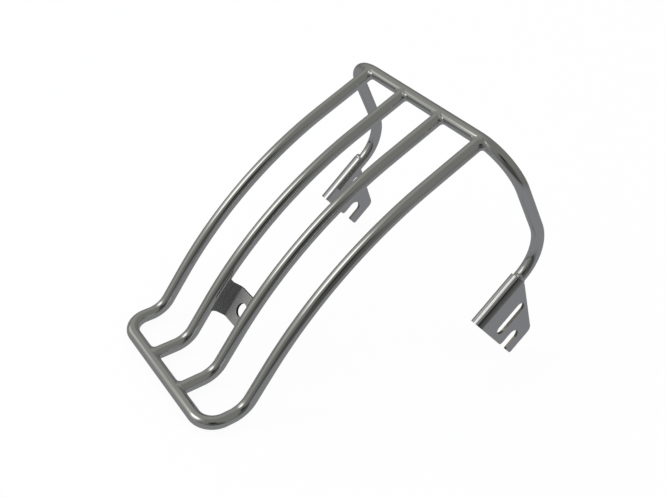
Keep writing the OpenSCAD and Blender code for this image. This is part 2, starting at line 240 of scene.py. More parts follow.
def grey(tone):
    """The room's greys are a touch green, and its white light hardly is."""
    cast = ROOM_CAST if tone < LIGHT_FROM else LIGHT_CAST
    return (tone, tone * (1 + cast / 6), tone * (1 - cast), 1)

def direction(tree):
    """The way from the tent's middle to the point that is coloured."""
    place = add(tree, "ShaderNodeTexCoord").outputs["Object"]
    return add(tree, "ShaderNodeVectorMath", {0: place}, operation="NORMALIZE").outputs[0]

def patch(tree, under, azimuth, height, inner, outer, tone):
    """A soft round patch: full inside inner degrees of its middle, gone outside outer."""
    a, h = math.radians(azimuth), math.radians(height)
    toward = (math.cos(h) * math.cos(a), math.cos(h) * math.sin(a), math.sin(h))
    pair = {0: direction(tree), 1: toward}
    dot = add(tree, "ShaderNodeVectorMath", pair, operation="DOT_PRODUCT").outputs["Value"]
    gone, full = math.cos(math.radians(outer)), math.cos(math.radians(inner))
    return blend(tree, remap(tree, dot, gone, full, kind="SMOOTHSTEP"), under, grey(tone))

print("a mid grey of the room is", [round(v, 3) for v in grey(0.2)])

# %% The ceiling's tones
CEILING = [(0.0, 0.16), (0.3, 0.18), (0.6, 0.195), (1.0, 0.19)]
TENT_PATCHES = {
    "left wall": (-172, 45, 12, 45, 0.28),
    "wall under the light": (-122, 8, 18, 42, 0.29),
    "glow round the light": (-118, 37, 12, 33, 0.42),
    "second light, dim": (-150, 24, 4, 16, 0.58),
    "the light": (-116, 41, 9, 18, 1.32),
    "dark by the camera, low": (-27, 8, 12, 38, 0.075),
    "dark by the camera, high": (-40, 34, 6, 17, 0.028),
}
tent_cloth, tree = fresh_material("tent_tones")
upward = add(tree, "ShaderNodeSeparateXYZ", {0: direction(tree)}).outputs["Z"]
tones = add(tree, "ShaderNodeValToRGB", {"Fac": upward})
stops = tones.color_ramp.elements
while len(stops) < len(CEILING):
    stops.new(0.5)
for stop, (at, tone) in zip(stops, CEILING):
    stop.position = at
    stop.color = grey(tone)
surface = tones.outputs["Color"]
for settings in TENT_PATCHES.values():
    surface = patch(tree, surface, *settings)
glow = add(tree, "ShaderNodeEmission", {"Color": surface, "Strength": 1.0})
add(tree, "ShaderNodeOutputMaterial", {"Surface": glow.outputs[0]})
print("ceiling with", len(TENT_PATCHES), "patches of tone")

# %% The dome
TENT_RADIUS, TENT_AROUND, TENT_UP, TENT_FOOT = 3.0, 64, 32, -0.01
mesh = bpy.data.meshes.new("tent")
shape = bmesh.new()
bmesh.ops.create_uvsphere(shape, u_segments=TENT_AROUND, v_segments=TENT_UP, radius=TENT_RADIUS)
bmesh.ops.delete(shape, geom=[v for v in shape.verts if v.co.z < TENT_FOOT], context="VERTS")
bmesh.ops.reverse_faces(shape, faces=shape.faces)
shape.to_mesh(mesh)
shape.free()
mesh.materials.append(tent_cloth)
tent = in_scene("tent", mesh)
reflection_only(tent)
print("dome of", len(mesh.polygons), "faces")

# %% [markdown]
# The table is light near the rack and falls off. It is dark under the dark shape by the camera
# and again beyond its far edge, which the front crossbar is high enough to see. Each spot is
# given by its middle and the distances where it starts to fade and is gone, in metres.

# %% The table
TABLE_FAR = (0.185, 0.187, 0.190)
TABLE_SPOTS = {
    "light near the rack": ((0, 0, 0), 0.3, 1.8, (0.238, 0.241, 0.250)),
    "dark by the camera": ((1.60, -0.82, 0), 1.05, 1.60, (0.060, 0.060, 0.061)),
    "dark past the edge": ((-1.15, -1.47, 0), 0.80, 1.08, (0.018, 0.026, 0.028)),
}
table_cloth, tree = fresh_material("tent_table")
place = add(tree, "ShaderNodeTexCoord").outputs["Object"]
surface = (*TABLE_FAR, 1)
for middle, near, far, tone in TABLE_SPOTS.values():
    away = add(tree, "ShaderNodeVectorMath", {0: place, 1: middle}, operation="DISTANCE").outputs["Value"]
    surface = blend(tree, remap(tree, away, near, far, kind="SMOOTHSTEP"), (*tone, 1), surface)
glow = add(tree, "ShaderNodeEmission", {"Color": surface, "Strength": 1.0})
add(tree, "ShaderNodeOutputMaterial", {"Surface": glow.outputs[0]})
reflection_only(flat_sheet("tent_table", TENT_RADIUS, FLOOR_DROP / 2, table_cloth))
print("table with", len(TABLE_SPOTS), "spots")

# %% [markdown]
# ## Lamps
# Two soft lamps give plain studio light. The strong one stands where the tent's white light is
# and the weak one fills in from the front left. Mirror rays don't see them, because the tent
# already holds the light's picture.

# %% Two soft lamps
LAMPS = {
    "lamp_behind_tail": ((-0.75, -1.40, 1.30), (0.9, 0.6), 7),
    "lamp_front_left": ((-1.3, 1.5, 1.6), (0.5, 0.5), 2.5),
}
for name, (at, size, power) in LAMPS.items():
    data = bpy.data.lights.new(name, "AREA")
    data.shape = "RECTANGLE"
    data.size, data.size_y = size
    data.energy = power
    lamp = in_scene(name, data)
    lamp.location = at
    lamp.rotation_mode = "QUATERNION"
    lamp.rotation_quaternion = Vector(at).to_track_quat("Z", "Y")
    lamp.visible_camera = False
    lamp.visible_glossy = False
    print(name, "gives", power, "W")

# %% [markdown]
# ## Plating
# Nickel and chrome follow whatever lies under them. On the bar that is drawn steel, polished
# along its length, so the mirror is sharp but not perfect: very shallow waves, fine hairlines
# and a slight haze that comes and goes. The side brackets' sheet is as good as the bar. The
# centre bracket lies hidden under the load and gets no polish, so its plating is dull, only
# partly metal to the eye, and mottled, and its walls and seams are darkened by painted shade,
# which stands in for the shade on them. Cut edges are coloured a dark brownish grey, and on the
# centre bracket nearly black. One recipe makes all of them. All patterns read Object
# coordinates, so they stay put when the rack is seen from elsewhere.

# %% One recipe for every finish
# How fine the clouds of haze, the grain and the hairlines are, per metre, between which values
# of the noise the haze changes, and how far from the middle plane the painted shade sets in
CLOUDS, GRAIN, HAIRLINES = 55.0, 900.0, (2600.0, 60.0, 2600.0)
CLOUD_FROM, CLOUD_TO = 0.35, 0.7
PAINTED_SHADE_FROM, PAINTED_SHADE_TO = 13.8 * MM, 15.2 * MM

def plating(name, colour, haze, wave, hairline, grain, metal=1.0, painted_shade=1.0):
    """haze is a middle and a spread, wave a height and a size in mm, hairline a height in mm.
    grain is how far the colour wanders, metal the share of metal, and the last one the share of the
    colour that is left where shade is painted on, away from the middle plane."""
    material, tree = fresh_material(name)
    place = add(tree, "ShaderNodeTexCoord").outputs["Object"]
    cloudy = noise(tree, place, CLOUDS, 4.0, 0.6)
    fine = noise(tree, place, GRAIN, 3.0, 0.6)
    slow = noise(tree, place, 1.0 / (wave[1] * MM), 1.0, 0.4)
    turned = add(tree, "ShaderNodeMapping", {"Vector": place, "Rotation": (LEAN, 0, 0), "Scale": HAIRLINES})
    lines = noise(tree, turned.outputs[0], 1.0, 2.0, 0.5)

    haze_now = remap(tree, cloudy, CLOUD_FROM, CLOUD_TO, haze[0] - haze[1], haze[0] + haze[1])
    darker = (*(c * (1 - grain) for c in colour), 1)
    lighter = (*(min(1, c * (1 + grain)) for c in colour), 1)
    shade = blend(tree, fine, darker, lighter)
    # Painted shade: away from the middle plane the colour is darkened, standing in for the shade on the
    # centre bracket's walls
    if painted_shade < 1:
        across = add(tree, "ShaderNodeSeparateXYZ", {0: place}).outputs["X"]
        left = remap(tree, calc(tree, "ABSOLUTE", across), PAINTED_SHADE_FROM, PAINTED_SHADE_TO, 1.0, painted_shade)
        with_painted_shade = add(tree, "ShaderNodeVectorMath", {0: shade, "Scale": left}, operation="SCALE")
        shade = with_painted_shade.outputs[0]

    relief = add(tree, "ShaderNodeBump", {"Height": slow, "Distance": wave[0] * MM, "Strength": 1.0})
    relief = add(tree, "ShaderNodeBump", {
        "Height": lines, "Distance": hairline * MM, "Strength": 0.5, "Normal": relief.outputs["Normal"],
    })
    skin = add(tree, "ShaderNodeBsdfPrincipled", {
        "Base Color": shade,
        "Metallic": metal,
        "Roughness": haze_now,
        "Normal": relief.outputs["Normal"],
    })
    add(tree, "ShaderNodeOutputMaterial", {"Surface": skin.outputs[0]})
    print(f"{name}: haze {haze[0]}, waves of {wave[0]} mm")
    return material

# %% The six finishes
bar_plating = plating("bar_plating", (0.80, 0.80, 0.79), (0.085, 0.02), (0.10, 18), 0.0003, 0.02)
sheet_plating = plating("sheet_plating", (0.79, 0.79, 0.80), (0.09, 0.02), (0.06, 16), 0.0002, 0.02)
# The dull plating keeps only 0.38 of its colour beyond the floor: painted shade on the centre bracket's
# walls and seams
dull_plating = plating(
    "dull_plating", (0.46, 0.46, 0.45), (0.27, 0.06), (0.12, 10), 0.001, 0.05, metal=0.55, painted_shade=0.38,
)
weld_plating = plating("weld_plating", (0.80, 0.80, 0.80), (0.11, 0.03), (0.04, 6), 0.0002, 0.02)
# Cut edges get a dark brownish grey, and the centre bracket's edges are nearly black
edge_plating = plating("edge_plating", (0.26, 0.24, 0.21), (0.26, 0.05), (0.03, 5), 0.0005, 0.06)
black_edge = plating("black_edge", (0.05, 0.05, 0.05), (0.34, 0.06), (0.03, 5), 0.0005, 0.06)

# %% [markdown]
# ## Bent bars
# On the bench each bar starts straight and is bent round formers, so its shape is a rule: a
# chain of straight stretches, a radius at each corner, and one thickness throughout. Geometry
# Nodes can follow the same rule. The path is a chain of corners that carry their radius, the
# tree rounds each corner with a true arc and sweeps a circle along the whole, which keeps the
# surface smooth where straight turns into bend. That matters for a mirror, where the smallest
# kink shows.

# %% How a tree starts and ends
def new_group(name, sockets):
    """A tree with one shape out, and with its inputs given as name, kind and first value."""
    group = bpy.data.node_groups.new(name, "GeometryNodeTree")
    group.interface.new_socket("Geometry", in_out="OUTPUT", socket_type="NodeSocketGeometry")
    for label, kind, value in sockets:
        socket = group.interface.new_socket(label, in_out="INPUT", socket_type=kind)
        if value is not None:
            socket.default_value = value
    return group

def end_tree(group, shape, finish):
    """The shape becomes real geometry, takes its finish and leaves the tree."""
    real = add(group, "GeometryNodeRealizeInstances", {"Geometry": shape})
    dressed = add(group, "GeometryNodeSetMaterial", {
        "Geometry": real.outputs["Geometry"], "Material": finish,
    })
    add(group, "NodeGroupOutput", {"Geometry": dressed.outputs["Geometry"]})
    print(group.name, "tree has", len(group.nodes), "nodes")

print("a tree ends with", end_tree.__name__)

# %% The tree that bends and sweeps
BAR_R, BAR_SIDES, BEND_STEPS = 6.35, 48, 28
bend_group = new_group("bent_bar", [
    ("Path", "NodeSocketGeometry", None),
    ("Bar radius", "NodeSocketFloat", BAR_R * MM),
    ("Sides", "NodeSocketInt", BAR_SIDES),
    ("Steps in a bend", "NodeSocketInt", BEND_STEPS),
    ("Plating", "NodeSocketMaterial", None),
])
start = add(bend_group, "NodeGroupInput").outputs
chain = add(bend_group, "GeometryNodeMeshToCurve", {"Mesh": start["Path"]})
radius = add(bend_group, "GeometryNodeInputNamedAttribute", {"Name": "bend_radius"}, data_type="FLOAT")
rounded = add(bend_group, "GeometryNodeFilletCurve", {
    "Curve": chain.outputs["Curve"],
    "Count": start["Steps in a bend"],
    "Radius": radius.outputs["Attribute"],
}, mode="POLY")
circle = add(bend_group, "GeometryNodeCurvePrimitiveCircle", {
    "Resolution": start["Sides"], "Radius": start["Bar radius"],
})
swept = add(bend_group, "GeometryNodeCurveToMesh", {
    "Curve": rounded.outputs["Curve"], "Profile Curve": circle.outputs["Curve"], "Fill Caps": True,
})
end_tree(bend_group, swept.outputs["Mesh"], start["Plating"])

# %% [markdown]
# A tree only runs on an object. The next helpers give it a path, set the inputs by their
# identifiers, take the result as a plain mesh and throw the path and its modifier away. Flat
# ends stay sharp and everything else is shaded smooth.

# %% Paths and plain meshes
def path_object(name, points, attribute, values):
    """An open chain of points in metres that carries one named value at each point."""
    mesh = bpy.data.meshes.new(name)
    mesh.from_pydata([tuple(p) for p in points], [(i, i + 1) for i in range(len(points) - 1)], [])
    layer = mesh.attributes.new(attribute, "FLOAT", "POINT")
    layer.data.foreach_set("value", values)
    return in_scene(name + "_path", mesh)

def plain_mesh(holder, name):
    """Turns holder's evaluated shape into a plain mesh object and removes holder."""
    evaluated = holder.evaluated_get(bpy.context.evaluated_depsgraph_get())
    mesh = bpy.data.meshes.new_from_object(evaluated)
    mesh.name = name
    old_mesh = holder.data
    bpy.data.objects.remove(holder)
    bpy.data.meshes.remove(old_mesh)
    return in_scene(name, mesh)

print("paths and meshes:", path_object.__name__, plain_mesh.__name__)

# %% Running a tree and fitting the piece
SHARP_ABOVE = 38

def run_tree(holder, group, name, inputs):
    """The piece that the tree makes of holder's path, with inputs given by their names."""
    modifier = holder.modifiers.new("nodes", "NODES")
    modifier.node_group = group
    for item in group.interface.items_tree:
        if item.in_out == "INPUT" and item.name in inputs:
            modifier[item.identifier] = inputs[item.name]
    piece = plain_mesh(holder, name)
    for polygon in piece.data.polygons:
        polygon.use_smooth = True
    piece.data.set_sharp_from_angle(angle=math.radians(SHARP_ABOVE))
    return piece

def fit(piece, slot_name, *nodes):
    """The piece rides on the rack and stands for the construction's own nodes; slot_name is not used."""
    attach(piece, "root")
    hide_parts(*nodes)
    print(f"{piece.name}: {len(piece.data.polygons)} faces, stands for {', '.join(nodes)}")

print("edges stay sharp above", SHARP_ABOVE, "degrees")

# %% [markdown]
# ## The bars' routes
# All four rails share one side view: level at the front, a long arch, a straight, a short kick
# back up, and the tail. The two outer rails and the tail bar are one bar. The hoop is one bar
# too: its crossbar turns down at both ends into the arms, and each arm turns rearward into the
# grip that its bracket wraps. The inner and outer rails end inside the bars that they meet, a
# little short of the axis.

# %% Corner points of the rails
RAIL_FRONT, ARCH_R, ARCH_TURN, RAIL_REAR = 68.0, 427.0, 29.2, 33.0
KICK_R, KICK_TURN, TAIL_REACH = 25.5, 53.8, 27.0
OUTER_X, INNER_X, TAIL_CORNER_R = 82.0, 27.0, 20.5
END_SHY = 0.6
TAIL_SLOPE = ARCH_TURN - KICK_TURN
arch_setback = ARCH_R * math.tan(math.radians(ARCH_TURN / 2))
kick_setback = KICK_R * math.tan(math.radians(KICK_TURN / 2))
arch_corner = (RAIL_FRONT + arch_setback) * heading(0)
kick_corner = arch_corner + (arch_setback + RAIL_REAR + kick_setback) * heading(ARCH_TURN)
tail_axis = kick_corner + (kick_setback + TAIL_REACH) * heading(TAIL_SLOPE)

def rail(x, last):
    return [Vector((x, p.y, p.z)) for p in (END_SHY * heading(0), arch_corner, kick_corner, last)]

print("tail bar:", round(-tail_axis.y), "mm behind the crossbar,", round(-tail_axis.z), "mm below it")

# %% Corner points of the hoop
HOOP_X, ARM_X, ARM_DROP, ARM_LEAN = 119.5, 129.5, 132.8, 3.2
HOOP_R, ARM_R, GRIP_SLOPE = 46.0, 45.0, 16.0
BRACKET_START, GRIP_LENGTH = 40.0, 43.0
grip_along, grip_down = heading(GRIP_SLOPE), heading(GRIP_SLOPE + 90)
hoop_corner = Vector((HOOP_X, 0, 0))
arm_corner = Vector((ARM_X, ARM_DROP * math.tan(math.radians(ARM_LEAN)), -ARM_DROP))
grip_start = arm_corner + BRACKET_START * grip_along
grip_end = grip_start + GRIP_LENGTH * grip_along
print("grips' ends:", round(-grip_end.y), "mm behind the crossbar,", round(-grip_end.z), "mm below it")

# %% Bend the four bars
def bar(name, points, radii, node):
    """A bar through the drawing's points, bent at each of them to its radius."""
    holder = path_object(name, [stand(p) for p in points], "bend_radius", [r * MM for r in radii])
    piece = run_tree(holder, bend_group, name, {
        "Bar radius": BAR_R * MM,
        "Sides": BAR_SIDES,
        "Steps in a bend": BEND_STEPS,
        "Plating": bar_plating,
    })
    fit(piece, "bar", node)

right_rail = rail(OUTER_X, tail_axis)
left_rail = [mirrored(p) for p in reversed(right_rail)]
rail_radii = [0, ARCH_R, KICK_R, TAIL_CORNER_R]
bar("frame_bar", right_rail + left_rail, rail_radii + rail_radii[::-1], "outer_frame")
inner_last = tail_axis - END_SHY * heading(TAIL_SLOPE)
for side, sign in SIDES:
    bar(f"inner_bar_{side}", rail(sign * INNER_X, inner_last), [0, ARCH_R, KICK_R, 0], f"inner_rail_{side}")
right_arm = [hoop_corner, arm_corner, grip_end]
left_arm = [mirrored(p) for p in reversed(right_arm)]
arm_radii = [HOOP_R, ARM_R, 0]
bar("hoop_bar", left_arm + right_arm, arm_radii[::-1] + arm_radii, "front_hoop")

# %% [markdown]
# ## Sheet brackets
# A sheet bracket is cut flat, drilled and slotted, and then folded. The same order works here:
# a flat outline with its holes is filled with faces, the folded strip is joined to its edge,
# Solidify gives the sheet its thickness, and a small Bevel takes the sharp edge off all round,
# as tumbling does before plating. Weighted Normal keeps the flats flat in the mirror.

# %% Outlines with round corners and holes
CORNER_STEP, SLOT_STEPS, HOLE_STEPS = 7.0, 14, 24

def arc_corner(a, b, c, r):
    """Points that round the corner b between a and c with radius r."""
    a, b, c = Vector(a), Vector(b), Vector(c)
    if r == 0:
        return [b]
    to_a, to_c = (a - b).normalized(), (c - b).normalized()
    half = to_a.angle(to_c) / 2
    centre = b + (to_a + to_c).normalized() * r / math.sin(half)
    first = b + to_a * r / math.tan(half) - centre
    last = b + to_c * r / math.tan(half) - centre
    count = max(2, round(math.degrees(math.pi - 2 * half) / CORNER_STEP))
    turn = math.atan2(first.x * last.y - first.y * last.x, first.dot(last))
    return [centre + Matrix.Rotation(turn * i / count, 2) @ first for i in range(count + 1)]

def rounded_outline(points, radii):
    """A closed outline, with a radius for the corner at each point."""
    after = points[1:] + points[:1]
    corners = [(points[i - 1], points[i], after[i], r) for i, r in enumerate(radii)]
    return [p for corner in corners for p in arc_corner(*corner)]

def round_slot(start_x, end_x, y, r, steps):
    """A slot with round ends about two points, or a round hole where both points are the same."""
    ends = [(start_x, math.pi / 2), (end_x, -math.pi / 2)]
    return [
        Vector((x + r * math.cos(a + math.pi * i / steps), y + r * math.sin(a + math.pi * i / steps)))
        for x, a in ends for i in range(steps + 1) if start_x != end_x or i < steps
    ]

print("a hole of", HOLE_STEPS, "steps a side has", len(round_slot(0, 0, 0, 1, HOLE_STEPS)), "points")

# %% Filling and joining
def fill_with_holes(shape, loops):
    """Fills the first loop of points with faces and leaves the other loops open."""
    edges = []
    for loop in loops:
        vertices = [shape.verts.new(p) for p in loop]
        edges += [shape.edges.new((vertices[i - 1], vertices[i])) for i in range(len(vertices))]
    bmesh.ops.triangle_fill(shape, use_beauty=True, edges=edges)

def bridge(shape, before, after, closed=False):
    """Joins two rows of vertices with faces, and their last vertices to their first if closed."""
    for i in range(len(before) if closed else len(before) - 1):
        k = (i + 1) % len(before)
        shape.faces.new((before[i], after[i], after[k], before[k]))

print("sheets are filled by", fill_with_holes.__name__, "and joined by", bridge.__name__)

# %% Thickening a sheet
# EDGE_ABOVE is the angle in degrees from which an edge is rounded
SHEET, EDGE_ROUND, EDGE_STEPS, EDGE_ABOVE, FLAT_WEIGHT = 3.0, 0.25, 3, 40, 80

def fold_sheet(name, shape, outward, face_plating, rim_plating, node):
    """Thickens the open sheet in shape towards outward, rounds its edges and fits it."""
    mesh = bpy.data.meshes.new(name)
    bmesh.ops.remove_doubles(shape, verts=shape.verts, dist=1e-6)
    bmesh.ops.recalc_face_normals(shape, faces=shape.faces)
    largest = max(shape.faces, key=lambda f: f.calc_area())
    if largest.normal.dot(outward) < 0:
        bmesh.ops.reverse_faces(shape, faces=shape.faces)
    for face in shape.faces:
        face.smooth = True
    shape.to_mesh(mesh)
    shape.free()
    mesh.materials.append(face_plating)
    mesh.materials.append(rim_plating)
    holder = in_scene(name + "_sheet", mesh)
    thick = holder.modifiers.new("thickness", "SOLIDIFY")
    thick.thickness, thick.offset, thick.use_even_offset = SHEET * MM, 1.0, True
    thick.material_offset_rim = 1
    soft = holder.modifiers.new("edge", "BEVEL")
    soft.width, soft.segments = EDGE_ROUND * MM, EDGE_STEPS
    soft.limit_method, soft.angle_limit = "ANGLE", math.radians(EDGE_ABOVE)
    even = holder.modifiers.new("even", "WEIGHTED_NORMAL")
    even.keep_sharp, even.weight = True, FLAT_WEIGHT
    fit(plain_mesh(holder, name), "sheet", node)

print("sheet of", SHEET, "mm, edges rounded by", EDGE_ROUND, "mm")

# %% [markdown]
# ### Side brackets
# Each side bracket hooks over the end of an arm: it is rolled round the bar from a narrow lip
# just past the top to the outer side, and runs on as the flat plate with a closed slot and an
# open hook. The lip is pressed down on the bar, which shows as a grey edge beside the white
# line of the light. The drawing gives the plate in two directions, rearward along the arm and
# down from it.

# %% Fold the side brackets
NEST_R = BAR_R + 0.1
PLATE_L, PLATE_D, LIP, LOWER_EDGE = 61.5, 73.4, 4.5, 34.0
SLOT_W, SLOT_WEB, SLOT_Y, SLOT_END = 12.5, 4.1, 25.3, 7.0
HOOK_W, HOOK_D, PRONG = 15.3, 22.7, 12.4
HEEL_R, LAND_R, TIP_R = 8.0, 3.5, 2.5
ROLL_STEPS = 24
roll_turn = math.pi / 2 + LIP / (NEST_R + SHEET / 2)
hook_top = PLATE_D - PRONG - HOOK_W
hook_deep = PLATE_L - HOOK_D
slant = math.atan2(PLATE_L - LOWER_EDGE, PLATE_D)
slot_front = SLOT_Y * math.tan(slant) + (SLOT_WEB + SLOT_W / 2) / math.cos(slant)
slot_rear = PLATE_L - SLOT_END - SLOT_W / 2

def side_bracket(side, sign):
    shape = bmesh.new()

    def on_plate(u, v, x=NEST_R):
        return stand_on(sign, grip_start + u * grip_along + v * grip_down + x * RIGHT)

    outline = rounded_outline(
        [(0, 0), (PLATE_L, 0), (PLATE_L, hook_top), (hook_deep, hook_top), (hook_deep, hook_top + HOOK_W),
         (PLATE_L, hook_top + HOOK_W), (PLATE_L, PLATE_D), (PLATE_L - LOWER_EDGE, PLATE_D)],
        [0, 0, LAND_R, HOOK_W / 2, HOOK_W / 2, TIP_R, TIP_R, HEEL_R],
    )
    slot = round_slot(slot_front, slot_rear, SLOT_Y, SLOT_W / 2, SLOT_STEPS)
    fill_with_holes(shape, [[on_plate(*p) for p in loop] for loop in (outline, slot)])
    turns = [roll_turn * i / ROLL_STEPS for i in range(ROLL_STEPS + 1)]
    roll = [(NEST_R * math.cos(a), -NEST_R * math.sin(a)) for a in turns]
    front, rear = ([shape.verts.new(on_plate(u, v, x)) for x, v in roll] for u in (0, PLATE_L))
    bridge(shape, front, rear)
    name, node = f"side_plate_{side}", f"side_bracket_{side}"
    fold_sheet(name, shape, sign * RIGHT, sheet_plating, edge_plating, node)

for side, sign in SIDES:
    side_bracket(side, sign)

# %% [markdown]
# ### Centre bracket
# The centre bracket is a hat: a floor with a round hole, and two walls that lean outward until
# they meet the inner rails. Its walls run a little way into the bars, where the weld hides the
# seam.

# %% Fold the centre bracket
HAT_AT, HAT_L, HAT_D, HAT_FLOOR, HAT_R, HOLE_R = 27.6, 34.0, 15.9, 31.0, 2.5, 7.0
WALL_TOP = -3.0
wall_reach = math.hypot(INNER_X - HAT_FLOOR / 2, HAT_D)
wall_lean = math.atan2(INNER_X - HAT_FLOOR / 2, HAT_D) - math.asin(SHEET / 2 / wall_reach)
arch_centre = RAIL_FRONT * heading(0) + Vector((0, 0, -ARCH_R))
hat_origin = arch_centre - ARCH_R * heading(HAT_AT + 90)
hat_up, hat_along = -heading(HAT_AT + 90), heading(HAT_AT)

def hat_point(x, y, s):
    return stand(hat_origin + x * RIGHT + y * hat_up + s * hat_along)

shape = bmesh.new()
half_floor = HAT_FLOOR / 2 - HAT_R * math.tan((math.pi / 2 - wall_lean) / 2)
hat_floor = [(x * half_floor, s * HAT_L / 2) for x, s in CORNERS]
hole = round_slot(0, 0, 0, HOLE_R, HOLE_STEPS)
fill_with_holes(shape, [[hat_point(x, -HAT_D, s) for x, s in loop] for loop in (hat_floor, hole)])
wall_x = HAT_FLOOR / 2 + (WALL_TOP + HAT_D) * math.tan(wall_lean)
bend = arc_corner((0, -HAT_D), (HAT_FLOOR / 2, -HAT_D), (wall_x, WALL_TOP), HAT_R)[1:]
wall = [Vector((half_floor, -HAT_D)), *bend, Vector((wall_x, WALL_TOP))]
for sign in (-1, 1):
    front, rear = (
        [shape.verts.new(hat_point(sign * x, y, s)) for x, y in wall] for s in (-HAT_L / 2, HAT_L / 2)
    )
    bridge(shape, front, rear)
fold_sheet("centre_plate", shape, TIP @ -hat_up, dull_plating, black_edge, "centre_bracket")

# %% [markdown]
# ## Weld fillets round the rail ends
# Where a rail meets a crossbar the welder fills the corner all round and the polisher rounds
# it over. The fillet runs from a toe on the rail to a toe on the bar, over a hollow curve. On
# top it is ground away, so the crossbar's line of light passes nearly unbroken, and on both
# upper flanks it stands a little proud, where the light catches it. Such a skin is lofted: one
# curve for each angle round the rail, with a faint ripple that follows the bead. It closes on
# itself against both bars. The outer rails meet the crossbar where it starts to bend, so the
# bar's own skin is worked out first, bend and all.

# %% The crossbar's skin
ROOT_R = BAR_R + 0.05
arm_fall = Vector((0, arm_corner.y, arm_corner.z)).normalized()
arm_back = Vector((0, arm_fall.z, -arm_fall.y))
bend_start = HOOP_X - HOOP_R * math.tan((hoop_corner.normalized()).angle(arm_corner - hoop_corner) / 2)

def crossbar_run(x):
    """How far along the crossbar's centreline the point above x lies."""
    return x if x < bend_start else bend_start + HOOP_R * math.asin((x - bend_start) / HOOP_R)

def crossbar_skin(run, angle, r):
    """A point r off the centreline, run along it, and angle degrees up from the rails' side."""
    bent = max(0.0, run - bend_start) / HOOP_R
    outward = min(run, bend_start) + HOOP_R * math.sin(bent)
    centre = outward * RIGHT + HOOP_R * (1 - math.cos(bent)) * arm_fall
    upper = math.sin(bent) * RIGHT - math.cos(bent) * arm_fall
    a = math.radians(angle + ARM_LEAN)
    return centre + r * (math.cos(a) * arm_back + math.sin(a) * upper)

def crossbar_height(x, z):
    """How high above the crossbar's centreline a point lies, measured square to it."""
    return z if x < bend_start else math.hypot(x - bend_start, z + HOOP_R) - HOOP_R

def lie(height):
    """Degrees round a bar at which a point so high above its centreline comes to rest on it."""
    return math.degrees(math.asin(max(-1.0, min(1.0, height / ROOT_R))))

print("crossbar is straight for", round(2 * bend_start, 1), "mm")

# %% Curves and skins of welds
WELD_SHARP_ABOVE = 50

def hollow_curve(a, corner, b, steps):
    """Points of the curve from a to b that is drawn in towards corner."""
    shares = [i / steps for i in range(steps + 1)]
    return [(1 - t) ** 2 * a + 2 * t * (1 - t) * corner + t * t * b for t in shares]

def loft(shape, rings):
    for before, after in zip(rings, rings[1:]):
        bridge(shape, before, after, closed=True)

def weld_piece(name, shape, finish, node):
    """Makes a smooth piece of a closed skin and fits it."""
    bmesh.ops.recalc_face_normals(shape, faces=shape.faces)
    for face in shape.faces:
        face.smooth = True
    mesh = bpy.data.meshes.new(name)
    shape.to_mesh(mesh)
    shape.free()
    mesh.materials.append(finish)
    mesh.set_sharp_from_angle(angle=math.radians(WELD_SHARP_ABOVE))
    fit(in_scene(name, mesh), "weld", node)

print("welds stay sharp above", WELD_SHARP_ABOVE, "degrees")

# %% One curve of a fillet
# The leg, how soon it is full away from the rail's top, how proud the flanks stand and the
# least lift. Then the steps round the rail and across, the degrees left open on each side of
# the rail's underside, and how many degrees further the fillet wraps the bar beside the rail.
# Last the ripples in a full turn, their height, and how far below the middle they die away
JOINT_LEG, FULL_LEG, JOINT_CROWN, LIFT = 4.5, 1.6, 0.45, 0.08
WELD_STEPS, ACROSS_STEPS, WELD_OPEN, WELD_WRAP = 84, 14, 25.0, 10.0
RIPPLES, RIPPLE, RIPPLE_TO = 18, 0.015, 0.6

def fillet_ring(turned, at, branch, upper, skin, rest):
    """The fillet's closed curve at so many degrees round the rail, counted from its side."""
    c, s = math.cos(math.radians(turned)), math.sin(math.radians(turned))
    out = c * RIGHT + s * upper
    side = rest(ROOT_R * c, ROOT_R * s)
    wrap = WELD_WRAP * c * c
    reach = ROOT_R + JOINT_LEG * min(1.0, FULL_LEG * c * c)
    rail_toe = at + ROOT_R * out + (JOINT_LEG + BAR_R * c * c) * branch
    corner = at + ROOT_R * out + ROOT_R * math.cos(math.radians(side)) * branch
    bar_toe = skin(reach * c, side + wrap, ROOT_R)
    ripple = RIPPLE * math.sin(RIPPLES * math.radians(turned)) * max(0.0, s + RIPPLE_TO)
    proud = LIFT + JOINT_CROWN * (2 * c * max(0.0, s)) ** 2 + ripple
    hollow = hollow_curve(rail_toe, corner, bar_toe, ACROSS_STEPS)
    ring = [p + proud * math.sin(math.pi * i / ACROSS_STEPS) * out for i, p in enumerate(hollow)]
    for t in (1 / 3, 2 / 3):
        ring.append(skin((reach + (ROOT_R - reach) * t) * c, side + (1 - t) * wrap, ROOT_R))
    return ring + [corner]

print("each fillet leaves", 2 * WELD_OPEN, "degrees open below its rail")

# %% A whole fillet
def close_end(shape, ring):
    """Fills a fillet's end with two fans: one from the corner and one from near the bar's toe."""
    apex = ACROSS_STEPS - 1
    fans = [(ring[-1], j) for j in range(apex)] + [(ring[apex], j) for j in range(apex + 1, len(ring) - 1)]
    for middle, j in fans:
        shape.faces.new((middle, ring[j], ring[j + 1]))

def fillet(name, node, sign, at, branch, upper, skin, rest):
    """A fillet round the rail that leaves the bar at the point at, along branch, with upper on top.
    skin gives points on the bar, and rest how far round it a point beside the rail comes to lie."""
    shape = bmesh.new()
    turns = [-90 + WELD_OPEN + (360 - 2 * WELD_OPEN) * i / WELD_STEPS for i in range(WELD_STEPS + 1)]
    curves = [fillet_ring(turned, at, branch, upper, skin, rest) for turned in turns]
    rings = [[shape.verts.new(stand_on(sign, p)) for p in curve] for curve in curves]
    loft(shape, rings)
    close_end(shape, rings[0])
    close_end(shape, rings[-1])
    weld_piece(name, shape, weld_plating, node)

print("a fillet has", WELD_STEPS + 1, "curves")

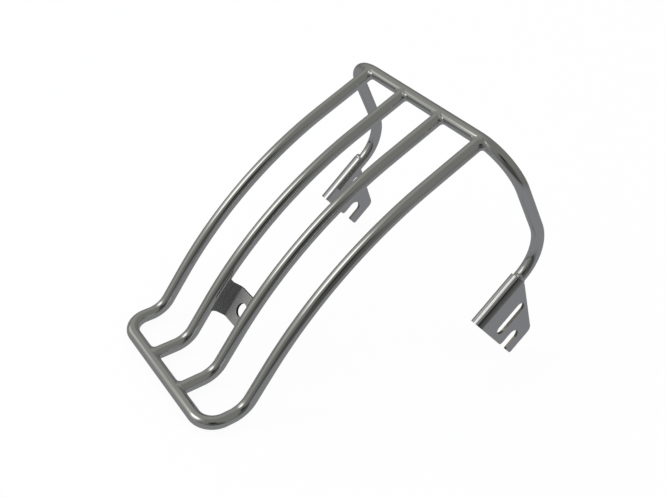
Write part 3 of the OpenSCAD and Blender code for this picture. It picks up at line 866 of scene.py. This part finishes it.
# %% Fillets at the front and at the tail
tail_at = tail_axis + INNER_X * RIGHT
into, over = -heading(TAIL_SLOPE), -heading(TAIL_SLOPE + 90)

def tail_skin(run, angle, r):
    """A point on the straight tail bar, run along it from the inner rail."""
    a = math.radians(angle)
    return tail_at + run * RIGHT + r * (math.cos(a) * into + math.sin(a) * over)

for side, sign in SIDES:
    for place_name, x in (("outer", OUTER_X), ("inner", INNER_X)):
        fillet(
            f"fillet_front_{place_name}_{side}", f"front_weld_{place_name}_{side}", sign,
            x * RIGHT, heading(0), Vector((0, 0, 1)),
            lambda run, angle, r, x=x: crossbar_skin(crossbar_run(x) + run, angle, r),
            lambda across, z, x=x: lie(crossbar_height(x + across, z)),
        )
    fillet(
        f"fillet_tail_{side}", f"tail_weld_{side}", sign,
        tail_at, into, over, tail_skin, lambda across, z: lie(z),
    )

# %% [markdown]
# ## Weld beads at the side brackets
# Each side bracket is held by two beads: one in the corner under the grip, and one round the
# arm where the bracket begins, which swells to a lump on the outer side. A bead follows a path
# and may repeat a small ripple along it, which is work for Geometry Nodes: resample the path
# evenly, swell and pinch the radius with a sine of the distance, taper both ends, and sweep a
# circle. The path carries the bead's size at each point.

# %% The tree that lays a bead
BEAD_STEP, BEAD_SIDES, TAPER_SHARE, END_SIZE = 0.3, 24, 0.07, 0.35
bead_group = new_group("weld_bead", [
    ("Path", "NodeSocketGeometry", None),
    ("Bead radius", "NodeSocketFloat", 2.5 * MM),
    ("Ripple pitch", "NodeSocketFloat", 2.2 * MM),
    ("Ripple depth", "NodeSocketFloat", 0.06),
    ("Plating", "NodeSocketMaterial", None),
])
start = add(bead_group, "NodeGroupInput").outputs
chain = add(bead_group, "GeometryNodeMeshToCurve", {"Mesh": start["Path"]})
even = add(bead_group, "GeometryNodeResampleCurve", {
    "Curve": chain.outputs["Curve"], "Length": BEAD_STEP * MM,
}, mode="LENGTH")
along = add(bead_group, "GeometryNodeSplineParameter").outputs
waves = calc(bead_group, "DIVIDE", along["Length"], start["Ripple pitch"])
swell = calc(bead_group, "SINE", calc(bead_group, "MULTIPLY", waves, math.tau))
depth = calc(bead_group, "MULTIPLY_ADD", swell, start["Ripple depth"], 1.0)
other_end = calc(bead_group, "SUBTRACT", 1.0, along["Factor"])
near_end = calc(bead_group, "MINIMUM", along["Factor"], other_end)
taper = remap(bead_group, near_end, 0.0, TAPER_SHARE, END_SIZE, 1.0, kind="SMOOTHSTEP")
size = add(bead_group, "GeometryNodeInputNamedAttribute", {"Name": "bead_size"}, data_type="FLOAT")
thick = calc(bead_group, "MULTIPLY", calc(bead_group, "MULTIPLY", depth, taper), start["Bead radius"])
thick = calc(bead_group, "MULTIPLY", thick, size.outputs["Attribute"])
circle = add(bead_group, "GeometryNodeCurvePrimitiveCircle", {"Resolution": BEAD_SIDES, "Radius": 1.0})
swept = add(bead_group, "GeometryNodeCurveToMesh", {
    "Curve": even.outputs["Curve"],
    "Profile Curve": circle.outputs["Curve"],
    "Scale": thick,
    "Fill Caps": True,
})
end_tree(bead_group, swept.outputs["Mesh"], start["Plating"])

# %% Lay the beads at the side brackets
# The grip's bead has a size, a place in from the sheet and a length that it is short at each
# end. The arm's bead runs round the arm from ARM_FROM to ARM_TO degrees above its outer side.
# It is thin but for its lump, lies ahead of the bracket and is sunk a little into the arm
GRIP_BEAD_R, GRIP_BEAD_IN, GRIP_BEAD_SHY, GRIP_RIPPLE, RIPPLE_PITCH = 2.4, 2.16, 6.0, 0.01, 2.4
ARM_BEAD_R, ARM_BEAD_THIN, ARM_BEAD_AHEAD, LUMP_AHEAD, ARM_BEAD_SUNK = 3.4, 0.5, 0.8, 0.9, 0.1
ARM_FROM, ARM_TO, LUMP_AT, LUMP_SPREAD, RUN_STEPS = -15.0, 120.0, 62.0, 26.0, 40

def bead(name, points, sizes, radius, depth, node, sign):
    """A bead through the right half's points, or mirrored, with its own size at each of them."""
    holder = path_object(name, [stand_on(sign, p) for p in points], "bead_size", sizes)
    piece = run_tree(holder, bead_group, name, {
        "Bead radius": radius * MM,
        "Ripple pitch": RIPPLE_PITCH * MM,
        "Ripple depth": depth,
        "Plating": weld_plating,
    })
    fit(piece, "weld", node)

corner = grip_start + (NEST_R - GRIP_BEAD_IN) * RIGHT + BAR_R * grip_down
grip_run = [corner + s * grip_along for s in (GRIP_BEAD_SHY, GRIP_LENGTH - GRIP_BEAD_SHY)]
arm_run, lumps = [], []
for i in range(RUN_STEPS + 1):
    turned = ARM_FROM + (ARM_TO - ARM_FROM) * i / RUN_STEPS
    lump = math.exp(-((turned - LUMP_AT) / LUMP_SPREAD) ** 2)
    out = math.cos(math.radians(turned)) * RIGHT - math.sin(math.radians(turned)) * grip_down
    ahead = ARM_BEAD_AHEAD + LUMP_AHEAD * lump
    arm_run.append(grip_start - ahead * grip_along + (BAR_R - ARM_BEAD_SUNK) * out)
    lumps.append(ARM_BEAD_THIN + (1 - ARM_BEAD_THIN) * lump)
for side, sign in SIDES:
    bead(f"bead_grip_{side}", grip_run, [1.0, 1.0], GRIP_BEAD_R, GRIP_RIPPLE, f"grip_weld_{side}", sign)
    bead(f"bead_arm_{side}", arm_run, lumps, ARM_BEAD_R, 0.0, f"arm_weld_{side}", sign)

# %% [markdown]
# ## Seam welds of the centre bracket
# The polisher works these two seams down to a hollow that runs from the rail into the wall
# without an edge, and past each end of the wall the weld dies away along the rail. The skin is
# lofted again, now from one closed section that is repeated along the arch.

# %% Section and stations of a seam
# Degrees from the wall to the toe on the rail, degrees by which the weld leaves the bar there,
# and its reach down the wall and past the wall's ends. Then how far the toes are sunk in the bar
# and lie off the wall, and how deep in the bar the hidden root is
SEAM_TURN, SEAM_RISE, SEAM_REACH, SEAM_PAST = 54.0, 8.0, 12.0, 2.6
SEAM_LIFT, SEAM_ROOT = 0.06, 0.3
CURVE_STEPS, ROOT_STEPS, SEAM_STEPS, PAST_STEPS = 12, 8, 24, 8
wall_down = Vector((-math.sin(wall_lean), -math.cos(wall_lean)))
wall_side = Vector((-math.cos(wall_lean), math.sin(wall_lean)))

def seam_section():
    """The closed section's points, from the rail's centre along the wall and across it."""
    a = math.radians(SEAM_TURN)
    face = SHEET / 2 + SEAM_LIFT
    rail_toe = (BAR_R - SEAM_LIFT) * Vector((math.cos(a), math.sin(a)))
    fall = (rail_toe.y - face) * math.tan(a + math.radians(SEAM_RISE))
    corner, wall_toe = Vector((rail_toe.x + fall, face)), Vector((SEAM_REACH, face))
    hollow = hollow_curve(rail_toe, corner, wall_toe, CURVE_STEPS)
    other_face = [Vector((p.x, -p.y)) for p in reversed(hollow)]
    turns = [a * (2 * i / ROOT_STEPS - 1) for i in range(1, ROOT_STEPS)]
    root = [(BAR_R - SEAM_ROOT) * Vector((math.cos(b), math.sin(b))) for b in turns]
    return hollow + other_face + root

def seam_stations():
    """Pairs of distance along the rail and the weld's height there, from 1 down to 0 past the wall."""
    beside = [(HAT_L * (i / SEAM_STEPS - 0.5), 1.0) for i in range(SEAM_STEPS + 1)]
    shares = [i / PAST_STEPS for i in range(1, PAST_STEPS + 1)]
    past = [(HAT_L / 2 + SEAM_PAST * t, (1 - t) ** 2) for t in shares]
    return [(-run, height) for run, height in reversed(past)] + beside + past

section, stations = seam_section(), seam_stations()
print("seam of", len(stations), "sections with", len(section), "points each")

# %% Loft the seams
def seam_point(run, height, p):
    """A point of the section at one station, sunk back on the bar as far as height leaves it."""
    foot = p.normalized() * min(p.length, BAR_R - SEAM_LIFT)
    q = foot + height * (p - foot)
    x, y = q.x * wall_down + q.y * wall_side + Vector((INNER_X, 0))
    at = HAT_AT + math.degrees(run / ARCH_R)
    return arch_centre + x * RIGHT - (ARCH_R + y) * heading(at + 90)

for side, sign in SIDES:
    shape = bmesh.new()
    rings = [
        [shape.verts.new(stand_on(sign, seam_point(run, height, p))) for p in section]
        for run, height in stations
    ]
    loft(shape, rings)
    for ring in (rings[0], rings[-1]):
        shape.faces.new(ring)
    weld_piece(f"seam_{side}", shape, dull_plating, f"centre_weld_{side}")
